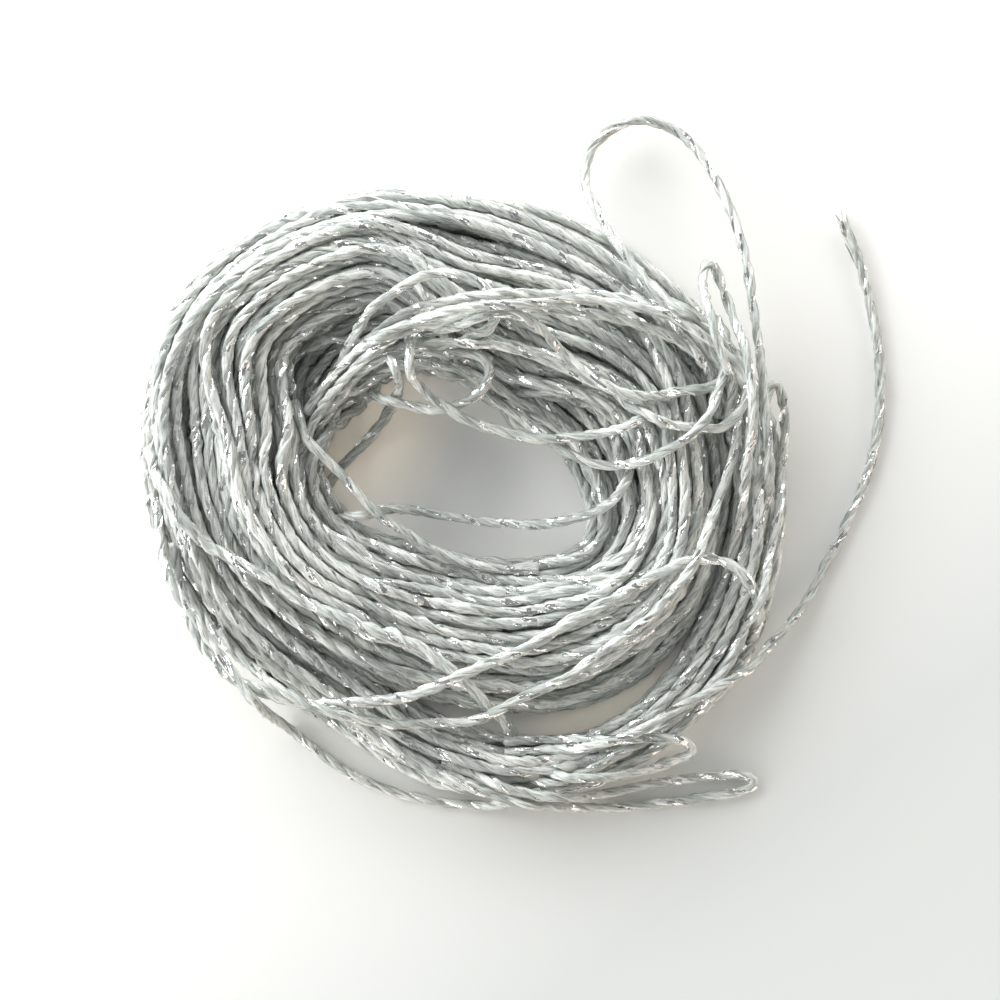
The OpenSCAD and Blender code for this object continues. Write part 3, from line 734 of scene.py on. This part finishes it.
# name, CAD nodes it stands for, buried length at each end, route in mm
IN_EYE = [
    ("eye_strand_deep", ("eye_strand_deep",), (12, 7), [
        (-25.6, -9.6, 1.4), (-24, -7.4, 1.2), (-22.4, -5.4, 1), (-21.2, -4.2, 0.5), (-19.8, -2.6, 0),
        (-18.6, -1.1, 0), (-17.4, 0.3, 0), (-15.6, 2.2, 0), (-14, 3.9, 0.1), (-12.8, 5.5, 0.5),
        (-12, 6.9, 1.2), (-11.6, 8.3, 1.9), (-11.9, 9.6, 2.6), (-12.6, 10.9, 3.2), (-14, 12, 3.6),
        (-16.2, 12.6, 3.6), (-18.8, 12.8, 3.2), (-21, 11.6, 2.8)]),
    ("eye_corner_turn", ("main_coil",), (22, 6), [
        (-23.8, 1, 2.2), (-22.6, 3.8, 2.4), (-20.6, 5.8, 2.6), (-17.8, 7.3, 3), (-15.7, 7.9, 3.4),
        (-14.3, 8.8, 4), (-12.8, 9.7, 4.6), (-11.4, 10.3, 5), (-9, 10.5, 5.2), (-6.5, 10.2, 5.2),
        (-4.3, 9.5, 5), (-2, 8.3, 4.6), (0.5, 6.8, 4.2), (3, 5.4, 4), (5.6, 3.4, 3.6)]),
    ("eye_strand_low", ("eye_strand_low",), (3, 3), [
        (-21.5, -6.2, 1.2), (-19.5, -5.7, 1.2), (-17.9, -5.3, 1.4), (-16.6, -5, 1.5), (-15.1, -4.8, 1.8),
        (-13.6, -4.3, 2.3), (-12.2, -4.1, 2.6), (-10, -4.3, 2.8), (-8, -4.7, 2.8), (-5.5, -5.1, 2.8),
        (-3, -5.4, 2.8), (-0.5, -5.6, 2.9), (2, -5.7, 3.1), (4.5, -5.4, 3.5), (7, -4.8, 4),
        (8.7, -4, 4.2), (9.9, -2.9, 4.3), (10.8, -1.5, 4.2), (11.3, 0, 4), (11.6, 1.6, 3.6),
        (11.8, 3.4, 3.2)]),
    ("eye_strand_left", ("eye_strand_left",), (3, 3), [
        (-22.4, 6.4, 3.8), (-21.6, 4.4, 4.6), (-20.7, 2.6, 5.2), (-19.5, 1.4, 5.6), (-18.3, 0.3, 5.7),
        (-17.1, -1, 5.6), (-15.8, -2.5, 5.3), (-14.4, -4, 4.9), (-13.1, -5.2, 4.6), (-11.6, -6.1, 4.4),
        (-10.1, -7.1, 4.2), (-8.6, -8.1, 4.1), (-6.6, -9, 3.9), (-3.6, -9.9, 3.5), (-0.6, -10.6, 3.2),
        (2.4, -10.6, 3)]),
    ("eye_ring", ("eye_ring",), (10, 4), [
        (-14.6, 8.6, 3), (-13.4, 9.6, 3.6), (-12, 10.5, 4.3), (-10.2, 11.2, 5.1), (-8.4, 11.5, 5.7),
        (-6, 11.6, 6.2), (-4.4, 11.4, 6.5), (-3.2, 10.9, 6.7), (-2.7, 10, 6.8), (-2.7, 8.9, 6.7),
        (-3.3, 7.7, 6.4), (-4.5, 6.8, 5.9), (-5.6, 6.3, 5.3), (-6.8, 5.9, 4.7), (-7.8, 5.7, 4.2),
        (-9.1, 5.8, 3.7), (-10.6, 6.2, 3.2), (-11.8, 6.5, 2.9), (-13.1, 6.9, 2.6), (-14.7, 7.6, 2.3),
        (-16.5, 8.8, 2.1), (-18.6, 9.8, 2)]),
    ("eye_strand_high", ("eye_strand_high",), (3, 3), [
        (-7.5, 14.8, 7), (-8.8, 14.2, 7.4), (-9.8, 13.2, 7.8), (-10.3, 12.2, 8.1), (-10.4, 11.2, 8.1),
        (-10.5, 10.2, 7.9), (-10.4, 9.2, 7.6), (-9.9, 8.4, 7.4), (-8.8, 7.3, 7.1), (-7.7, 6.4, 6.9),
        (-6.3, 5.5, 6.7), (-5, 4.8, 6.5), (-3, 4.1, 6.3), (-0.5, 3.3, 6.2), (2.5, 2.9, 6.3),
        (5.5, 3, 6.6), (8.5, 3.4, 7), (10.5, 4, 7.2), (12, 4.7, 7.2), (13.5, 5.6, 6.5), (14.9, 6.8, 5.2),
        (16, 8.4, 4)]),
]
for k, (name, nodes, buried, route) in enumerate(IN_EYE):
    strands.append((name, laid(route, buried), EYE_SEED + k, nodes, "object", 1.0))


# ---------------------------------------------------------------------------------------------
# Loops, folds and the loose end, which stand out of the coil on its right and along the bottom. Each
# is the same cord and runs on into the coil at both ends, but the loose end is cut off and frayed.
# ---------------------------------------------------------------------------------------------
LOOSE_SEED = 500
# name, CAD nodes it stands for, buried length at each end, what its far end is, route in mm
LOOSE = [
    ("outer_strand", ("outer_strand",), (5, 4), "object", [
        (-36.2, 0, 2.5), (-36, -4, 2), (-35.3, -9, 2), (-33.4, -13, 1.6), (-31, -16.5, 1),
        (-28.5, -20, 0.5), (-25.5, -24, 0), (-21.5, -27.5, 0), (-16.5, -31, 0), (-11.5, -33, 0),
        (-6.5, -33.9, 0), (-3.5, -34.1, 0), (-1.5, -33.9, 0), (-0.2, -33.5, 0), (1, -32.9, 0),
        (2.6, -32.4, 0), (4.5, -32, 0), (6.4, -31.9, 0), (8.2, -31.5, 0), (9.6, -30.8, 0),
        (11.2, -29.9, 0), (12.9, -29, 0), (14.7, -27.8, 0), (16.1, -26.5, 0), (17.4, -25, 0.3),
        (18.6, -23.4, 0.8), (20.2, -21.6, 1.4), (22.2, -19, 1.8)]),
    ("diagonal_strand", ("outer_turns",), (6, 7), "object", [
        (22.8, -17.5, 2), (20.9, -20.3, 2), (19.4, -22, 1.8), (17.4, -23.8, 1.5), (15.2, -25.5, 1),
        (13.4, -26.8, 0.6), (11.9, -27.8, 0.5), (10.2, -28.7, 0.4), (8.4, -29.7, 0.4), (6.7, -30.5, 0.6),
        (4.9, -31, 1), (2.9, -31, 1.4), (0.5, -30.6, 1.6), (-3, -30, 1.6), (-6.5, -28.8, 1.6)]),
    ("lower_fold", ("lower_fold",), (3, 3), "object", [
        (-11.5, -28.6, 3.5), (-8.5, -30, 3), (-6, -31.3, 2.4), (-3.5, -32.3, 1.8), (-1, -33.1, 1.4),
        (1.5, -33.7, 1), (4.5, -34.1, 0.5), (8.5, -34.4, 0), (11.5, -34.2, 0), (14.5, -33.9, 0),
        (17.5, -33.6, 0), (20, -33.2, 0), (22.5, -32.8, 0), (23.9, -32.2, 0), (24.2, -31.7, 0.1),
        (23.7, -31.2, 0.2), (22.5, -31, 0.2), (20.5, -31.1, 0.2), (17.5, -31.4, 0.3), (14.5, -31.8, 0.4),
        (11.5, -32.4, 0.6), (8.5, -32.9, 0.8), (5.5, -33.1, 1.1), (2.5, -32.9, 1.4), (0, -32.5, 1.6),
        (-2, -31.8, 2), (-4.5, -30.9, 2.6), (-7.5, -29.6, 3)]),
    ("small_fold", ("small_fold",), (4, 3), "object", [
        (-1, -27.6, 2.5), (2.5, -27.4, 3.4), (5, -27.3, 3.6), (7.5, -27.3, 3.4), (10.5, -27.1, 2.9),
        (13.5, -27, 2.4), (15.7, -27.1, 1.9), (17, -27.5, 1.4), (17.7, -28.1, 1), (17.5, -28.8, 0.8),
        (16.3, -29.3, 0.8), (14.5, -30, 0.9), (12.5, -30.5, 1.1), (10.5, -30.8, 1.3), (8.5, -31, 1.4),
        (6, -31.1, 1.6), (3.5, -30.9, 2), (1.5, -30.6, 2.4), (-1, -30.2, 2.8)]),
    ("right_stub_loop", ("right_stub_loop",), (5, 4), "object", [
        (24.6, -6, 2.5), (25, -1, 3), (25, 4, 3.5), (25.2, 7, 3), (26.2, 8.5, 2.5), (27, 6, 2),
        (27, 2, 2), (26.5, -3, 2), (25.5, -8, 2), (24.5, -13, 2), (22.5, -17, 2), (20.5, -20, 2)]),
    ("narrow_loop", ("narrow_loop",), (4, 4), "object", [
        (21.5, 4, 4.5), (21.5, 8, 6.5), (20, 12, 6.5), (19, 16, 6), (18.6, 19, 5.5), (19.5, 20.5, 5),
        (20.6, 18, 5), (22, 14, 5.5), (23, 10, 6.5), (23.5, 5, 7), (23, 0, 6.5), (22.5, -5, 5),
        (21.8, -9, 3.5)]),
    ("top_loop", ("top_loop",), (4, 4), "object", [
        (21.5, 10, 5), (18.5, 14, 6.5), (14.5, 17, 7), (11, 21, 6), (8.5, 25, 4.5), (7, 28.5, 3),
        (8, 32.5, 2.2), (12, 35, 1.8), (16, 34, 1.8), (19, 31, 1.8), (21.5, 26, 2.8), (23, 21, 4),
        (23.7, 16, 5), (24.5, 10, 6), (25, 4, 6), (25, -2, 4.5), (24.5, -7, 3)]),
    ("free_tail", ("free_tail",), (None, 5), "bare", [
        (33, 25, 0.3), (33.7, 23.5, 0.2), (35, 20, 0), (36.2, 15, 0), (36.9, 10, 0), (36.8, 5, 0),
        (35.8, 0, 0), (34, -4.5, 0), (31.8, -9, 0), (29, -14, 0.3), (26.5, -17, 0.8), (23.5, -20, 1.8),
        (20, -22, 3.5), (15.5, -24.5, 4.5), (10.5, -27, 4.5), (4.5, -28.5, 4), (-1, -29, 3)]),
]
for k, (name, nodes, buried, far_end, route) in enumerate(LOOSE):
    # a cord starts at its exit, so the loose end comes last
    path = laid(route, buried)[::-1 if far_end == "bare" else 1]
    strands.append((name, path, LOOSE_SEED + k, nodes, far_end, 1.0))


# ---------------------------------------------------------------------------------------------
# The frayed tip: strips of slit film that have come untwisted at the cord's cut end and splay from
# it. Each is drawn as a flat strip 0.3 mm wide that narrows to its own end.
# ---------------------------------------------------------------------------------------------
FRAY_WIDE, FRAY_THICK, FRAY_RINGS = 0.30, 0.05, 14
# how much of its width a strip loses to its tip, and the length in mm over which the film's lines run
FRAY_NARROWS, FRAY_LONG = 0.7, 3
# root, bend and tip of each strip, in mm
FRAY = np.array([
    [(34.3, 20.9, 0.5), (33.9, 21.7, 0.6), (33.3, 22.7, 0.9)],
    [(34.0, 22.2, 0.4), (33.2, 23.6, 0.3), (32.6, 25.0, 0.4)],
    [(33.8, 22.9, 0.6), (33.2, 24.1, 0.6), (33.0, 25.9, 0.5)],
    [(33.8, 23.2, 0.3), (33.7, 24.4, 0.3), (33.5, 25.7, 0.2)],
    [(33.5, 23.8, 0.5), (33.0, 24.8, 0.7), (32.3, 25.6, 0.9)],
])


def splayed(strips):
    """Flat strips, four points a ring, along the curve (1-t)^2 a + 2t(1-t) b + t^2 c of each three."""
    t = np.linspace(0, 1, FRAY_RINGS)[:, None]
    a, b, c = (strips[:, None, k] for k in range(3))
    path = (1 - t) ** 2 * a + 2 * t * (1 - t) * b + t ** 2 * c
    ahead = np.gradient(path, axis=1)
    side = np.cross([0, 0, 1.0], ahead)
    side *= FRAY_WIDE / 2 * (1 - FRAY_NARROWS * t) / np.linalg.norm(side, axis=2)[..., None]
    up = np.array([0, 0, FRAY_THICK / 2])
    return np.stack([path - side - up, path + side - up, path + side + up, path - side + up], axis=2)


fray_mesh = cord_mesh("tail_fray", splayed(FRAY), np.linspace(0, FRAY_LONG, FRAY_RINGS),
                      np.full((len(FRAY), FRAY_RINGS), -1))
tail_fray = bpy.data.objects.new("tail_fray", fray_mesh)
bpy.context.collection.objects.link(tail_fray)
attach(tail_fray, "root")


# ---------------------------------------------------------------------------------------------
# The whole cord is let down once more, coil and strands together, and then drawn. Slack turns in
# the coil are fuller than the free stretches, because their plies lie open.
# ---------------------------------------------------------------------------------------------
SLACK_FULL = 1.14
WINDING_SEED = 100
# the most mm of a winding in one mesh
MOST_LENGTH = 2400

cords = [coil[cord_of == 0], coil[cord_of == 1]] + [strand[1] for strand in strands]
cord_of = np.repeat(np.arange(len(cords)), [len(path) for path in cords])
rested = settled(np.vstack(cords), cord_of, LYING_APART, steps=48, fall=0.001, pull=0.03)
rested = [rested[cord_of == k] for k in range(len(cords))]

# a winding is twisted as a whole and then cut into pieces of one mesh each
for k, (name, node) in enumerate((("main_turns", "main_coil"), ("outer_turns", "outer_turns"))):
    path = resampled(rested[k], RING_STEP)
    plies, along, foils = twisted(path, np.random.default_rng(WINDING_SEED + k), SLACK_FULL)
    parts = int(np.ceil(along[-1] / MOST_LENGTH))
    edges = np.linspace(0, len(path) - 1, parts + 1).astype(int)
    for part in range(parts):
        cut = slice(edges[part], edges[part + 1] + 1)
        make_cord(f"{name}_{part:02d}", (plies[:, cut], along[cut], foils[:, cut]),
                  replaced=(node,))

for (name, _, seed, nodes, far_end, full), points in zip(strands, rested[2:]):
    path = resampled(points, RING_STEP)
    twist = twisted(path, np.random.default_rng(seed), full)
    make_cord(f"{name}_cord", twist, replaced=nodes)
